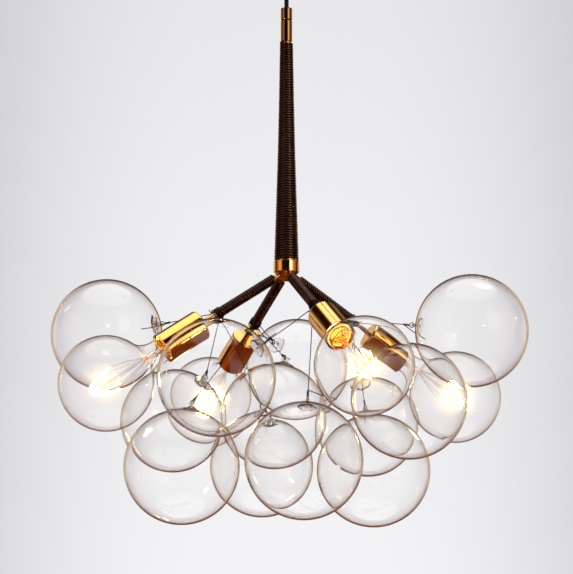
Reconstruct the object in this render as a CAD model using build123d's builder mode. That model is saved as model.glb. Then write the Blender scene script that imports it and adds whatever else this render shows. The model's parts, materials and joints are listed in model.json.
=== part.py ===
from build123d import *
import os
from itertools import combinations
from math import acos, cos, floor, pi, sin, sqrt

# Bubble pendant light: a leather-wound stem on a black cord carries four drooping arms with globe lamps,
# and twelve clear glass bubbles hang from the arms on twisted wires. Millimetres, +Z up, and the origin is
# the middle of the two fixing holes on the face of the bracket that lies against the ceiling.

# Ceiling bracket, cord grip and terminal block
bracket_length = 84.0
bracket_width = 20.0
bracket_thickness = 2.0
fixing_spacing = 60.0
fixing_hole_radius = 2.5
grip_flange_radius = 8.0
grip_flange_thickness = 2.0
grip_body_radius = 6.0
grip_height = 13.0
grip_spigot_radius = 5.0
grip_screw_radius = 1.25
terminal_length = 15.0
terminal_width = 16.0
terminal_height = 9.0
terminal_gap = 1.0
terminal_screw_radius = 1.6
terminal_screw_depth = 4.0
terminal_pitch = 8.0

# Canopy, which slides down the cord for wiring
canopy_radius = 50.0
canopy_height = 28.0
canopy_wall = 1.2
canopy_corner = 9.0
ceiling_gap = 0.3
collar_radius = 6.0
collar_length = 10.0
collar_spigot_radius = 4.5
collar_screw_radius = 1.5
collar_screw_length = 4.0
collar_screw_socket_radius = 0.75

# Cord, gland and stem
cord_radius = 3.0
cord_free = 51.7  # bare cord between the canopy's collar and the gland
cord_play = 0.1
gland_radius = 7.8
gland_nut_length = 16.7
gland_groove = 0.8
gland_sleeve_length = 29.0
gland_edge = 1.2
gland_thread_radius = 5.0
gland_thread_length = 12.0
gland_cord_seat = 9.0
stem_bore_radius = 3.0
stem_spigot_radius = 8.0
stem_spigot_length = 8.0
stem_wrap_radii = (16.75, 14.4, 12.1, 10.5, 9.3)  # outer radius of the wrap at even steps, bottom to top
stem_wrap_length = 303.2

# Leather lace, wound tightly round the stem and the arms
lace_radius = 1.5
lace_pitch = 3.5
lace_play = 0.1

# Hub at the foot of the stem
hub_radius = 17.25
hub_collar_height = 12.8
hub_shoulder = 1.5
hub_tip_radius = 4.6
hub_tip_drop = 13.6
hub_edge = 0.8

# Arms: yaw round the stem and droop under the horizontal, in degrees
arm_turns = {"right": (22.5, 32.5), "back": (115.5, 30.0), "left": (200.0, 33.0), "front": (292.5, 32.0)}
arm_reach = 296.0  # from the meeting point to the middle of the globe lamp
arm_tube_radius = 4.0
arm_tube_bore = 3.0
arm_tube_start = 7.5
arm_tube_play = 0.05
arm_wrap_start = 20.3
arm_nipple_bare = 20.5

# Socket cup and lampholder
cup_radius = 20.0
cup_wall = 1.0
cup_corner = 3.5
cup_overhang = 3.0
holder_radius = 17.0
holder_corner = 2.0
holder_length = 60.0
holder_thread_depth = 7.5
holder_bore_radius = 13.5
holder_bore_depth = 27.0
holder_tongue_radius = 3.0
holder_tongue_height = 2.2
contact_gap = 0.3

# Globe lamp with a screw cap, 180 mm long in all
globe_radius = 62.5
globe_wall = 0.8
neck_radius = 15.0
neck_root_radius = 12.0
neck_root_length = 9.8
neck_step = 2.7
neck_straight = 7.0
neck_blend = 30.0
cap_radius = 13.1
cap_wall = 0.5
cap_length = 23.0
cap_heel = 3.0
contact_tip_radius = 4.0
contact_length = 4.0
insulator_neck = 1.5
insulator_play = 0.2
screw_pitch = 3.62
screw_turns = 3.0
flare_length = 34.0
flare_wall = 0.9
exhaust_radius = 1.0
flare_play = 0.1
pinch_radius = 3.2
rod_radius = 1.4
rod_length = 56.0
bead_radius = 2.4
support_count = 8
support_wire_radius = 0.3
support_spread = 17.0
support_rise = 53.0
filament_tip_spread = 5.5
filament_length = 37.0
filament_bend = 1.0

# Bubbles: middles as shares of the arm's reach from the meeting point, in X, Y and Z
bubble_wall = 1.2
large_bubble_radius = 75.0
small_bubble_radius = 70.0
large_bubble_shares = {
    "left_upper": (-0.819, 0.120, -0.274),
    "left_lower": (-0.458, -0.235, -0.905),
    "left_front": (-0.299, -0.569, -0.552),
    "front_lower": (0.074, -0.497, -0.900),
    "right_lower": (0.390, 0.035, -0.900),
    "right_front": (0.530, -0.375, -0.632),
    "right_upper": (0.828, -0.083, -0.284),
}
small_bubble_shares = {
    "left_inner": (-0.519, 0.196, -0.659),
    "back_lower": (-0.113, 0.355, -0.853),
    "centre": (-0.056, -0.081, -0.667),
    "back_upper": (0.049, 0.684, -0.358),
    "right_back": (0.382, 0.505, -0.654),
}
# Hooks of the inner bubbles point past their wires; every other hook points straight along its wire
hook_lean_shares = {
    "left_inner": (0.574, -0.457, 0.680),
    "back_lower": (0.100, -0.528, 0.841),
    "centre": (0.188, -0.054, 0.980),
    "left_lower": (0.147, 0.006, 0.989),
}
# Bubbles that each arm carries, from the outer tie to the inner one
carried = {
    "left": ("left_upper", "left_inner", "back_lower"),
    "back": ("back_upper", "centre", "left_lower"),
    "front": ("left_front", "front_lower", "right_front"),
    "right": ("right_upper", "right_lower", "right_back"),
}
glass_gap = 0.5  # least gap between neighbouring glass
settle_rounds = 400
settle_limit = 0.001

# Glass hook on each bubble, and the wire that holds it
hook_rod_radius = 1.5
hook_loop_radius = 4.0
hook_sink = 0.2
wire_radius = 0.6
wire_eye_radius = 3.2
wire_eye_play = 0.3
wire_twist_radius = 1.3
wire_twist_length = 9.0
tie_inset = 2.0
tie_pitch = 4.0
tie_play = 0.15

overrun = 5.0  # how far a cutting shape runs past the face that it opens


def finish(piece, name):
    """Label a finished piece and write it."""
    piece.part.label = name
    export_step(piece.part, f"parts/{name}.step")


def direction(yaw, droop):
    """Return the unit vector of an arm from its yaw and droop in degrees."""
    level = Vector(1, 0, 0).rotate(Axis.Y, droop)
    return level.rotate(Axis.Z, yaw)


def nearest(point, start, end):
    """Return the place on a straight run that lies nearest to a point."""
    run = end - start
    share = (point - start).dot(run) / run.dot(run)
    return start + run * max(0.0, min(1.0, share))


# Levels on the stem's axis, from the ceiling down to the point where the four arms meet
collar_top = -ceiling_gap - canopy_height
gland_top = collar_top - collar_length - cord_free
nut_bottom = gland_top - gland_nut_length
sleeve_top = nut_bottom - gland_groove
wrap_top = sleeve_top - gland_sleeve_length
hub_top = wrap_top - stem_wrap_length
pendant_drop = hub_collar_height - hub_top
meeting = Vector(0, 0, -pendant_drop)

# Stations along an arm, from the meeting point
blend_middle = sqrt((globe_radius + neck_blend) ** 2 - (neck_radius + neck_blend) ** 2)
cap_end = arm_reach - blend_middle - neck_straight - neck_step
cap_start = cap_end - cap_length
contact_place = cap_start - contact_length
holder_floor = contact_place - contact_gap - holder_tongue_height
holder_mouth = holder_floor + holder_bore_depth
holder_back = holder_mouth - holder_length
cup_back = holder_back - cup_wall
cup_mouth = holder_mouth + cup_overhang
arm_wrap_end = cup_back - arm_nipple_bare
arm_wrap_radius = arm_tube_radius + lace_play + 2 * lace_radius
screw_travel = screw_pitch * screw_turns

arm_axes = {arm: direction(*turns) for arm, turns in arm_turns.items()}
arm_planes = {
    arm: Plane(origin=meeting, x_dir=Vector(0, 0, 1).cross(axis), z_dir=axis) for arm, axis in arm_axes.items()
}

bubble_radii = {name: large_bubble_radius for name in large_bubble_shares}
bubble_radii.update({name: small_bubble_radius for name in small_bubble_shares})
bubble_shares = {**large_bubble_shares, **small_bubble_shares}


def glass_obstacles():
    """List what the bubbles must clear: each lamp over its whole screw travel, its cup and its arm."""
    found = []
    for axis in arm_axes.values():
        lamp = meeting + axis * arm_reach
        found.append((lamp, lamp + axis * screw_travel, globe_radius))
        found.append((meeting + axis * (cup_back + cup_radius), meeting + axis * cup_mouth, cup_radius))
        found.append((meeting + axis * arm_wrap_start, meeting + axis * cup_back, arm_wrap_radius))
    return found


def settled(places):
    """Ease the bubbles apart, and off the lamps, cups and arms, until all have their gap."""
    obstacles = glass_obstacles()
    for _ in range(settle_rounds):
        worst = 0.0
        for one, two in combinations(places, 2):
            apart = places[two] - places[one]
            short = bubble_radii[one] + bubble_radii[two] + glass_gap - apart.length
            if short > 0:
                places[one] -= apart.normalized() * short / 2
                places[two] += apart.normalized() * short / 2
                worst = max(worst, short)
        for name, radius in bubble_radii.items():
            for start, end, width in obstacles:
                away = places[name] - nearest(places[name], start, end)
                short = radius + width + glass_gap - away.length
                if short > 0:
                    places[name] += away.normalized() * short
                    worst = max(worst, short)
        if worst < settle_limit:
            break
    return places


bubble_middles = settled(
    {name: meeting + Vector(*share) * arm_reach for name, share in bubble_shares.items()}
)

# Where each wire is tied to its arm, and where it holds its bubble's hook
tie_ring_radius = arm_wrap_radius + tie_play + wire_radius
hook_reach = 2 * hook_loop_radius + hook_sink
ties = {}
hooks = {}
for arm, names in carried.items():
    for place, name in enumerate(names):
        lean = Vector(*hook_lean_shares.get(name, (0, 0, 0)))
        aim = bubble_middles[name] + lean * (bubble_radii[name] + hook_reach)
        station = meeting + arm_axes[arm] * (arm_wrap_end - tie_inset - place * tie_pitch)
        across = aim - station
        across -= arm_axes[arm] * across.dot(arm_axes[arm])
        tie = station + across.normalized() * tie_ring_radius
        hook = (lean if name in hook_lean_shares else tie - bubble_middles[name]).normalized()
        ties[name] = (station, tie)
        hooks[name] = (hook, bubble_middles[name] + hook * (bubble_radii[name] + hook_reach))


def hook_tangent(name):
    """Return the direction of the glass rod where the wire holds it: level, and square to the hook."""
    hook, grip = hooks[name]
    wire = (ties[name][1] - grip).normalized()
    if wire.cross(hook).length > sin(pi / 36):
        return hook.cross(wire).normalized()
    return hook.cross(Vector(0, 0, 1)).normalized()


os.makedirs("parts", exist_ok=True)

# Bracket that two screws hold to the ceiling
with BuildPart() as ceiling_bracket:
    with BuildSketch(Plane.XY.offset(-bracket_thickness)):
        SlotOverall(bracket_length, bracket_width)
        with GridLocations(fixing_spacing, 0, 2, 1):
            Circle(fixing_hole_radius, mode=Mode.SUBTRACT)
        Circle(grip_spigot_radius + lace_play, mode=Mode.SUBTRACT)
    extrude(amount=bracket_thickness)
finish(ceiling_bracket, "ceiling_bracket")

# Cord grip under the bracket, with its spigot in the bracket's middle hole
with BuildPart() as cord_grip:
    with BuildSketch(Plane.XY.offset(-bracket_thickness)):
        Circle(grip_spigot_radius)
    extrude(amount=bracket_thickness)
    with BuildSketch(Plane.XY.offset(-bracket_thickness)):
        Circle(grip_flange_radius)
    extrude(amount=-grip_flange_thickness)
    with BuildSketch(Plane.XY.offset(-bracket_thickness - grip_flange_thickness)):
        Circle(grip_body_radius)
    extrude(amount=-(grip_height - grip_flange_thickness))
    fillet(cord_grip.edges().filter_by(GeomType.CIRCLE).sort_by(Axis.Z)[0], grip_body_radius / 6)
    with BuildSketch(Plane.XY):
        Circle(cord_radius + cord_play)
    extrude(amount=-(bracket_thickness + grip_height), mode=Mode.SUBTRACT)
    with BuildSketch(Plane.XZ.offset(-grip_body_radius)):
        with Locations((0, -bracket_thickness - (grip_height + grip_flange_thickness) / 2)):
            Circle(grip_screw_radius)
    extrude(amount=grip_body_radius, mode=Mode.SUBTRACT)
finish(cord_grip, "cord_grip")

# Terminal block beside the grip
with BuildPart() as terminal_block:
    with BuildSketch(Plane.XY.offset(-bracket_thickness)):
        with Locations((grip_flange_radius + terminal_gap + terminal_length / 2, 0)):
            RectangleRounded(terminal_length, terminal_width, terminal_gap)
    extrude(amount=-terminal_height)
    block_bottom = terminal_block.faces().sort_by(Axis.Z)[0]
    with Locations(Plane(origin=block_bottom.center(), x_dir=(0, 1, 0), z_dir=(0, 0, -1))):
        with GridLocations(terminal_pitch, 0, 2, 1):
            Hole(terminal_screw_radius, terminal_screw_depth)
finish(terminal_block, "terminal_block")

# Canopy: a spun cup that hides the bracket
with BuildPart() as canopy:
    with BuildSketch(Plane.XY.offset(collar_top)):
        Circle(canopy_radius)
    extrude(amount=canopy_height)
    fillet(canopy.edges().sort_by(Axis.Z)[0], canopy_corner)
    offset(amount=-canopy_wall, openings=canopy.faces().sort_by(Axis.Z)[-1])
    with BuildSketch(Plane.XY.offset(collar_top - overrun)):
        Circle(collar_spigot_radius + cord_play)
    extrude(amount=2 * overrun, mode=Mode.SUBTRACT)
finish(canopy, "canopy")

# Collar under the canopy, with a spigot in the canopy's hole and a side screw that grips the cord
screw_level = collar_top - collar_length / 2
with BuildPart() as canopy_collar:
    with BuildSketch(Plane.XY.offset(collar_top)):
        Circle(collar_radius)
    extrude(amount=-collar_length)
    chamfer(canopy_collar.edges().sort_by(Axis.Z)[0], collar_radius / 8)
    with BuildSketch(Plane.XY.offset(collar_top)):
        Circle(collar_spigot_radius)
    extrude(amount=canopy_wall)
    with BuildSketch(Plane.XY.offset(collar_top - collar_length)):
        Circle(cord_radius + cord_play)
    extrude(amount=collar_length + canopy_wall, mode=Mode.SUBTRACT)
    with BuildSketch(Plane.YZ):
        with Locations((0, screw_level)):
            Circle(collar_screw_radius + cord_play)
    extrude(amount=collar_radius, mode=Mode.SUBTRACT)
finish(canopy_collar, "canopy_collar")

with BuildPart() as collar_screw:
    with BuildSketch(Plane.YZ.offset(cord_radius + cord_play)):
        with Locations((0, screw_level)):
            Circle(collar_screw_radius)
    extrude(amount=collar_screw_length)
    with BuildSketch(Plane.YZ.offset(cord_radius + cord_play + collar_screw_length / 2)):
        with Locations((0, screw_level)):
            RegularPolygon(collar_screw_socket_radius, 6)
    extrude(amount=collar_screw_length / 2, mode=Mode.SUBTRACT)
finish(collar_screw, "collar_screw")

# Cord, hanging straight from the bracket into the gland
cord_top = -bracket_thickness
cord_foot = gland_top - gland_cord_seat
with BuildPart() as supply_cord:
    with BuildSketch(Plane.XY.offset(cord_foot)):
        Circle(cord_radius)
    extrude(amount=cord_top - cord_foot)
finish(supply_cord, "supply_cord")

# Gland: a nut over a sleeve that screws onto the stem
with BuildPart() as gland_nut:
    with BuildSketch(Plane.XY.offset(nut_bottom)):
        Circle(gland_radius)
    extrude(amount=gland_nut_length)
    nut_rims = gland_nut.edges().filter_by(GeomType.CIRCLE).sort_by(Axis.Z)
    fillet(nut_rims[-1], gland_edge)
    chamfer(nut_rims[0], gland_groove)
    with BuildSketch(Plane.XY.offset(nut_bottom - gland_groove)):
        Circle(gland_thread_radius)
    extrude(amount=gland_groove)
    with BuildSketch(Plane.XY.offset(nut_bottom - gland_groove)):
        Circle(stem_bore_radius)
    extrude(amount=gland_nut_length + gland_groove, mode=Mode.SUBTRACT)
    with BuildSketch(Plane.XY.offset(gland_top - gland_cord_seat)):
        Circle(cord_radius + cord_play)
    extrude(amount=gland_cord_seat, mode=Mode.SUBTRACT)
finish(gland_nut, "gland_nut")

with BuildPart() as gland_sleeve:
    with BuildSketch(Plane.XY.offset(wrap_top)):
        Circle(gland_radius)
    extrude(amount=gland_sleeve_length)
    sleeve_rims = gland_sleeve.edges().filter_by(GeomType.CIRCLE).sort_by(Axis.Z)
    chamfer(sleeve_rims[-1], gland_groove)
    fillet(sleeve_rims[0], gland_groove)
    with BuildSketch(Plane.XY.offset(wrap_top)):
        Circle(stem_bore_radius)
    extrude(amount=gland_sleeve_length, mode=Mode.SUBTRACT)
    with BuildSketch(Plane.XY.offset(wrap_top)):
        Circle(gland_thread_radius + arm_tube_play)
    extrude(amount=gland_thread_length, mode=Mode.SUBTRACT)
finish(gland_sleeve, "gland_sleeve")

# Stem: a tapered tube under the wrap, seated in the hub and threaded into the gland
wrap_step = stem_wrap_length / (len(stem_wrap_radii) - 1)
core_radii = [radius - 2 * lace_radius - lace_play for radius in stem_wrap_radii]
with BuildPart() as stem_core:
    with BuildSketch(Plane.XZ):
        with BuildLine():
            Polyline(
                (stem_bore_radius, wrap_top + gland_thread_length - lace_play),
                (stem_bore_radius, hub_top - stem_spigot_length),
                (stem_spigot_radius, hub_top - stem_spigot_length),
                (stem_spigot_radius, hub_top),
                *[(radius, hub_top + place * wrap_step) for place, radius in enumerate(core_radii)],
                (gland_thread_radius, wrap_top),
                (gland_thread_radius, wrap_top + gland_thread_length - lace_play),
                close=True,
            )
        make_face()
    revolve(axis=Axis.Z)
finish(stem_core, "stem_core")


def wrap_outline(radii, bottom, length, inner_radii):
    """Draw half the section of a tight wrap: a row of rounded turns outside and the core's line inside."""
    turns = floor(length / lace_pitch)
    step = length / turns
    spans = len(radii) - 1

    def outer(share):
        place = min(int(share * spans), spans - 1)
        return radii[place] + (radii[place + 1] - radii[place]) * (share * spans - place)

    sink = lace_radius / 3
    for turn in range(turns):
        low = bottom + turn * step
        groove = (outer(turn / turns) - sink, low)
        crest = (outer((turn + 0.5) / turns), low + step / 2)
        ridge = (outer((turn + 1) / turns) - sink, low + step)
        ThreePointArc(groove, crest, ridge)
    inner = [(radius, bottom + place * length / spans) for place, radius in enumerate(inner_radii)]
    Polyline((radii[0] - sink, bottom), *inner, (radii[-1] - sink, bottom + length))


with BuildPart() as stem_wrap:
    with BuildSketch(Plane.XZ):
        with BuildLine():
            wrap_outline(stem_wrap_radii, hub_top, stem_wrap_length, [r + lace_play for r in core_radii])
        make_face()
    revolve(axis=Axis.Z)
finish(stem_wrap, "stem_wrap")

# Hub: a turned collar over a cone, bored for the stem and the four arms
with BuildPart() as arm_hub:
    with BuildSketch(Plane.XZ):
        with BuildLine():
            Polyline(
                (0, -pendant_drop - hub_tip_drop),
                (hub_tip_radius, -pendant_drop - hub_tip_drop),
                (hub_radius, -pendant_drop - hub_shoulder),
                (hub_radius, hub_top),
                (0, hub_top),
                close=True,
            )
        make_face()
    revolve(axis=Axis.Z)
    fillet(arm_hub.edges().filter_by(GeomType.CIRCLE).group_by(Axis.Z)[0], hub_edge)
    chamfer(arm_hub.edges().filter_by(GeomType.CIRCLE).group_by(Axis.Z)[-1], hub_edge / 2)
    with BuildSketch(Plane.XY.offset(hub_top)):
        Circle(stem_spigot_radius + arm_tube_play)
    extrude(amount=-stem_spigot_length, mode=Mode.SUBTRACT)
    for plane in arm_planes.values():
        with BuildSketch(plane.offset(arm_tube_start)):
            Circle(arm_tube_radius + arm_tube_play)
        extrude(amount=hub_radius + overrun, mode=Mode.SUBTRACT)
finish(arm_hub, "arm_hub")

# Pieces of one arm, drawn once about +Z from the meeting point outward, then placed on each arm
with BuildPart() as arm_tube:
    with BuildSketch(Plane.XY.offset(arm_tube_start)):
        Circle(arm_tube_radius)
        Circle(arm_tube_bore, mode=Mode.SUBTRACT)
    extrude(amount=holder_back + holder_thread_depth - lace_play - arm_tube_start)

with BuildPart() as arm_wrap:
    with BuildSketch(Plane.XZ):
        with BuildLine():
            tube_line = arm_tube_radius + lace_play
            wrap_outline(
                (arm_wrap_radius, arm_wrap_radius),
                arm_wrap_start,
                arm_wrap_end - arm_wrap_start,
                (tube_line, tube_line),
            )
        make_face()
    revolve(axis=Axis.Z)

with BuildPart() as socket_cup:
    with BuildSketch(Plane.XY.offset(cup_back)):
        Circle(cup_radius)
    extrude(amount=cup_mouth - cup_back)
    fillet(socket_cup.edges().sort_by(Axis.Z)[0], cup_corner)
    offset(amount=-cup_wall, openings=socket_cup.faces().sort_by(Axis.Z)[-1])
    with BuildSketch(Plane.XY.offset(cup_back - overrun)):
        Circle(arm_tube_radius + arm_tube_play)
    extrude(amount=2 * overrun, mode=Mode.SUBTRACT)

with BuildPart() as lampholder:
    with BuildSketch(Plane.XY.offset(holder_back)):
        Circle(holder_radius)
    extrude(amount=holder_length)
    fillet(lampholder.edges().filter_by(GeomType.CIRCLE).sort_by(Axis.Z)[0], holder_corner)
    with BuildSketch(Plane.XY.offset(holder_floor)):
        Circle(holder_bore_radius)
    extrude(amount=holder_bore_depth, mode=Mode.SUBTRACT)
    with BuildSketch(Plane.XY.offset(holder_back)):
        Circle(arm_tube_radius + arm_tube_play)
    extrude(amount=holder_thread_depth, mode=Mode.SUBTRACT)
    with BuildSketch(Plane.XY.offset(holder_floor)):
        Circle(holder_tongue_radius)
    extrude(amount=holder_tongue_height)

# Globe lamp
neck_root = cap_end - neck_root_length


def globe_outline(inset):
    """Draw half the section of the lamp's glass, closed on the axis and drawn in by the inset."""
    ball = globe_radius - inset
    blend = neck_blend + inset
    blend_z = arm_reach - blend_middle
    join_share = ball / (ball + blend)
    join = (join_share * (neck_radius + neck_blend), arm_reach - join_share * blend_middle)
    turn = acos((neck_radius + neck_blend) / (ball + blend)) / 2
    blend_mid = (neck_radius + neck_blend - blend * cos(turn), blend_z + blend * sin(turn))
    Polyline(
        (0, neck_root),
        (neck_root_radius - inset, neck_root),
        (neck_root_radius - inset, cap_end),
        (neck_radius - inset, cap_end + neck_step),
        (neck_radius - inset, blend_z),
    )
    ThreePointArc((neck_radius - inset, blend_z), blend_mid, join)
    ThreePointArc(join, (ball, arm_reach), (0, arm_reach + ball))
    Line((0, arm_reach + ball), (0, neck_root))


with BuildPart() as lamp_glass:
    with BuildSketch(Plane.XZ):
        with BuildLine():
            globe_outline(0)
        make_face()
    revolve(axis=Axis.Z)
    with BuildSketch(Plane.XZ):
        with BuildLine():
            globe_outline(globe_wall)
        make_face()
    revolve(axis=Axis.Z, mode=Mode.SUBTRACT)

with BuildPart() as lamp_cap:
    with BuildSketch(Plane.XY.offset(cap_start)):
        Circle(cap_radius)
    extrude(amount=cap_length)
    chamfer(lamp_cap.edges().filter_by(GeomType.CIRCLE).sort_by(Axis.Z)[0], cap_heel)
    offset(amount=-cap_wall, openings=lamp_cap.faces().filter_by(GeomType.PLANE).sort_by(Axis.Z)[-1])
    with BuildSketch(Plane.XY.offset(cap_start - overrun)):
        Circle(contact_tip_radius + insulator_neck)
    extrude(amount=2 * overrun, mode=Mode.SUBTRACT)

with BuildPart() as lamp_contact:
    with BuildSketch(Plane.XZ):
        with BuildLine():
            Polyline(
                (0, contact_place),
                (contact_tip_radius, contact_place),
                (contact_tip_radius + insulator_neck - insulator_play, contact_place + insulator_neck),
                (cap_radius - cap_heel - insulator_neck, cap_start - insulator_play),
                (0, cap_start - insulator_play),
                close=True,
            )
        make_face()
    revolve(axis=Axis.Z)

# Glass stem inside the lamp, with support wires that carry the filament strands
flare_radius = neck_root_radius - globe_wall - flare_play
pinch_place = neck_root + flare_length
rod_end = pinch_place + rod_length
support_place = pinch_place + support_rise
with BuildPart() as lamp_mount:
    with BuildSketch(Plane.XZ):
        with BuildLine():
            Spline((flare_radius, neck_root), (pinch_radius, pinch_place), tangents=((-1, 1), (0, 1)))
            Polyline(
                (pinch_radius, pinch_place),
                (rod_radius, pinch_place + pinch_radius),
                (rod_radius, rod_end),
                (0, rod_end),
                (0, pinch_place - pinch_radius),
                (exhaust_radius, pinch_place - pinch_radius),
            )
            Spline(
                (exhaust_radius, pinch_place - pinch_radius),
                (flare_radius - flare_wall, neck_root),
                tangents=((0, -1), (1, -1)),
            )
            Line((flare_radius - flare_wall, neck_root), (flare_radius, neck_root))
        make_face()
    revolve(axis=Axis.Z)
    with Locations((0, 0, rod_end)):
        Sphere(bead_radius)
    for turn in range(support_count):
        outward = Vector(1, 0, 0).rotate(Axis.Z, turn * 360 / support_count)
        with BuildLine(Plane(origin=(0, 0, 0), x_dir=outward, z_dir=outward.cross(Vector(0, 0, 1)))) as hoop:
            FilletPolyline(
                ((pinch_radius + rod_radius) / 2, pinch_place),
                (support_spread, support_place),
                (filament_tip_spread, support_place + filament_length),
                (bead_radius / 2, rod_end + bead_radius / 2),
                radius=filament_bend,
            )
        with BuildSketch(Plane(origin=hoop.line @ 0, z_dir=hoop.line % 0)):
            Circle(support_wire_radius)
        sweep(path=hoop.line)

arm_pieces = {
    "arm_tube": arm_tube,
    "arm_wrap": arm_wrap,
    "socket_cup": socket_cup,
    "lampholder": lampholder,
    "lamp_glass": lamp_glass,
    "lamp_cap": lamp_cap,
    "lamp_contact": lamp_contact,
    "lamp_mount": lamp_mount,
}
for arm, plane in arm_planes.items():
    for name, drawn in arm_pieces.items():
        with BuildPart() as placed:
            with Locations(plane):
                add(drawn.part)
        finish(placed, f"{name}_{arm}")

# Wires: a ring round the arm, a straight run, a twist, and an eye through the bubble's hook
for arm, names in carried.items():
    with BuildPart() as tie_wires:
        for name in names:
            station, tie = ties[name]
            hook, grip = hooks[name]
            run = (tie - grip).normalized()
            eye = grip + run * (wire_eye_radius - wire_radius - hook_rod_radius - wire_eye_play)
            start = eye + run * wire_eye_radius
            with Locations(Plane(origin=station, z_dir=arm_axes[arm])):
                Torus(tie_ring_radius, wire_radius)
            with Locations(Plane(origin=eye, z_dir=hook_tangent(name))):
                Torus(wire_eye_radius, wire_radius)
            with BuildSketch(Plane(origin=start, z_dir=run)):
                Circle(wire_radius)
            extrude(amount=(tie - start).length)
            with BuildSketch(Plane(origin=start + run * wire_radius, z_dir=run)):
                Circle(wire_twist_radius)
            extrude(amount=wire_twist_length)
    finish(tie_wires, f"tie_wires_{arm}")

# Bubbles: blown glass with a glass hook drawn out of the wall
for name, middle in bubble_middles.items():
    radius = bubble_radii[name]
    hook, grip = hooks[name]
    tangent = hook_tangent(name)
    with BuildPart() as bubble:
        with Locations(Plane(origin=middle, x_dir=-hook, z_dir=tangent)):
            Sphere(radius)
        with Locations(Plane(origin=grip - hook * hook_loop_radius, x_dir=hook, z_dir=hook.cross(tangent))):
            Torus(hook_loop_radius, hook_rod_radius)
        with Locations(Plane(origin=middle, x_dir=-hook, z_dir=tangent)):
            Sphere(radius - bubble_wall, mode=Mode.SUBTRACT)
    finish(bubble, f"bubble_{name}")
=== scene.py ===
# %% [markdown]
# Bubble pendant light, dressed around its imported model. A stem wound in leather lace hangs on a black cord.
# Four wound arms droop from a brass hub, each with a socket cup and a lit globe lamp, and twelve blown glass
# bubbles hang from the arms on twisted iron wires. This lesson loads the fixed model, sets up the camera and
# a pale studio, makes one finish at a time, and adds the thin pieces that a solid model leaves out.

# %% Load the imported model
import json
import math
import random

import bpy
import numpy as np
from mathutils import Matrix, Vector, noise

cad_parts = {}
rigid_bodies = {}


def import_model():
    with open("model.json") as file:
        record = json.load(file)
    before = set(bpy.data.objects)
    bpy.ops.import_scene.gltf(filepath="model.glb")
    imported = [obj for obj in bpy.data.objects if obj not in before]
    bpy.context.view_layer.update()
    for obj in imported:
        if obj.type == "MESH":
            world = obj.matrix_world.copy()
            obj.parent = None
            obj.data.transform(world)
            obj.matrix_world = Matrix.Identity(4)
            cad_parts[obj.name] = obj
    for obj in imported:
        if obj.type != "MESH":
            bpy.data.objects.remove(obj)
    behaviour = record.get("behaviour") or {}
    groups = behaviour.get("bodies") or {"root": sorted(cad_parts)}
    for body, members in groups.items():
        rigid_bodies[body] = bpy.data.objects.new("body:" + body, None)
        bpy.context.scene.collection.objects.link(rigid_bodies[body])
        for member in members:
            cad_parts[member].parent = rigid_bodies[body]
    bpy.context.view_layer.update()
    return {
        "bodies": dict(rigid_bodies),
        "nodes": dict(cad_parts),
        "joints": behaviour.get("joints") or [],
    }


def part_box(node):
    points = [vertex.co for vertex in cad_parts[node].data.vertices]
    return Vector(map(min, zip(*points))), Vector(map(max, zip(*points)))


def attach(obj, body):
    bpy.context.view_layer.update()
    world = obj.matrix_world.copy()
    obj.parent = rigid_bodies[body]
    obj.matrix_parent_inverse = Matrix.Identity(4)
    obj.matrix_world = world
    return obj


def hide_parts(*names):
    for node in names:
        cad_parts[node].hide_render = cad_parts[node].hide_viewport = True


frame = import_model()
nodes = frame["nodes"]
mm = 0.001

# %% [markdown]
# The arms are read from the model itself. Each lamp turns on a hinge along its arm, so that joint gives the
# arm's direction, and going back along it by the arm's reach gives the point where all four arms meet.

# %% Arms and the places along them
arm_reach = 296 * mm
hinge = "lamp_screw_"
lamp_joints = {j["name"][len(hinge):]: j for j in frame["joints"] if j["name"].startswith(hinge)}
arm_axes = {arm: Vector(j["axis"]).normalized() for arm, j in lamp_joints.items()}
arm_starts = [Vector(j["pos_m"]) - arm_axes[arm] * arm_reach for arm, j in lamp_joints.items()]
meeting = sum(arm_starts, Vector()) / len(arm_starts)
upright = Vector((0, 0, 1))


def node_points(node):
    """Return a node's corners as an array."""
    return np.array([v.co for v in nodes[node].data.vertices], float).reshape(-1, 3)


def span(node, origin, axis):
    """Return how far along an axis a node starts and ends."""
    along = (node_points(node) - np.array(origin)) @ np.array(axis)
    return float(along.min()), float(along.max())


def basis(axis):
    """Return two unit directions square to an axis and to each other, the first one level."""
    side = upright.cross(axis)
    least_length = 0.1
    side = side.normalized() if side.length > least_length else Vector((1, 0, 0))
    return side, axis.cross(side).normalized()


def around(side, up, turned):
    """Return the unit direction that lies an angle round from side towards up."""
    return side * math.cos(turned) + up * math.sin(turned)


print("meeting point:", [round(v, 4) for v in meeting], "arms:", sorted(arm_axes))

# %% [markdown]
# The camera comes first, because everything else is judged through it. It stands 3.2 m in front of the light
# and about half a metre under the meeting point, tilted up by 9 degrees, with a long lens that keeps the
# globes round.

# %% Camera
scene = bpy.context.scene
camera_data = bpy.data.cameras.new("camera")
camera_data.sensor_fit = "HORIZONTAL"
camera_data.sensor_width = 36
camera_data.lens = 150.2
camera_data.clip_end = 50
camera = bpy.data.objects.new("camera", camera_data)
camera_distance, camera_height, level, tilt_up = 3.1573, -0.9742, 90, 9
camera.location = (0, -camera_distance, camera_height)
camera.rotation_euler = (math.radians(level + tilt_up), 0, 0)
scene.collection.objects.link(camera)
scene.camera = camera
scene.view_settings.view_transform = "Standard"
print("camera:", tuple(camera.location), "lens:", camera_data.lens)

# %% [markdown]
# The supply cord hangs straight, pulled tight by the light's weight, from the grip on the ceiling bracket
# down into the gland. A curve with a round bevel is enough, because nothing bends it. The bevel is one
# metre deep and each point scales it to the cord's real radius, so the curve's box is its true box too.

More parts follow.
